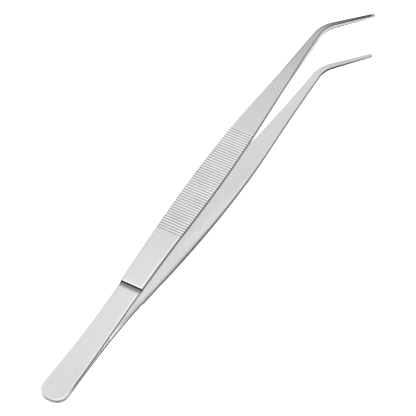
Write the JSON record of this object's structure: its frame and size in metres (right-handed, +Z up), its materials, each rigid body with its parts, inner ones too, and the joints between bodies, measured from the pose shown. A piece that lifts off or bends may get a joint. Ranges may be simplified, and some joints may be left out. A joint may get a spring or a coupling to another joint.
{
  "type": "aquascaping tweezers",
  "caption": "Long stainless steel planting tweezers for aquariums, with a cross-grooved grip and slim jaws bent sideways; the two sprung blades are squeezed to close the tips.",
  "frame": {"origin": "on the underside of the lower blade's flat grooved grip, at the land beside its middle groove, at table level", "axes": "+X from the butt to the tips, -Y the side that the tips bend to, +Z up, with the tweezers lying on one broad face"},
  "size_m": [0.2707, 0.0251, 0.0345],
  "materials": {
    "blade_steel": "satin",
    "weld_steel": "matt"
  },
  "bodies": {
    "butt": {"upper_blade_butt": "blade_steel", "lower_blade_butt": "blade_steel", "spot_weld_rear": "weld_steel", "spot_weld_front": "weld_steel"},
    "upper_arm": {"upper_blade_arm": "blade_steel"},
    "lower_arm": {"lower_blade_arm": "blade_steel"}
  },
  "joints": [
    {"name": "upper_arm_flex", "type": "hinge", "parent": "butt", "child": "upper_arm", "pos_m": [-0.09291, 0, 0.00718], "axis": [0, 1, 0], "range_deg": [0, 3.29], "stiffness_Nm_per_rad": 6.8},
    {"name": "lower_arm_flex", "type": "hinge", "parent": "butt", "child": "lower_arm", "pos_m": [-0.09266, 0, 0.00341], "axis": [0, -1, 0], "range_deg": [0, 3.29], "stiffness_Nm_per_rad": 6.8}
  ]
}
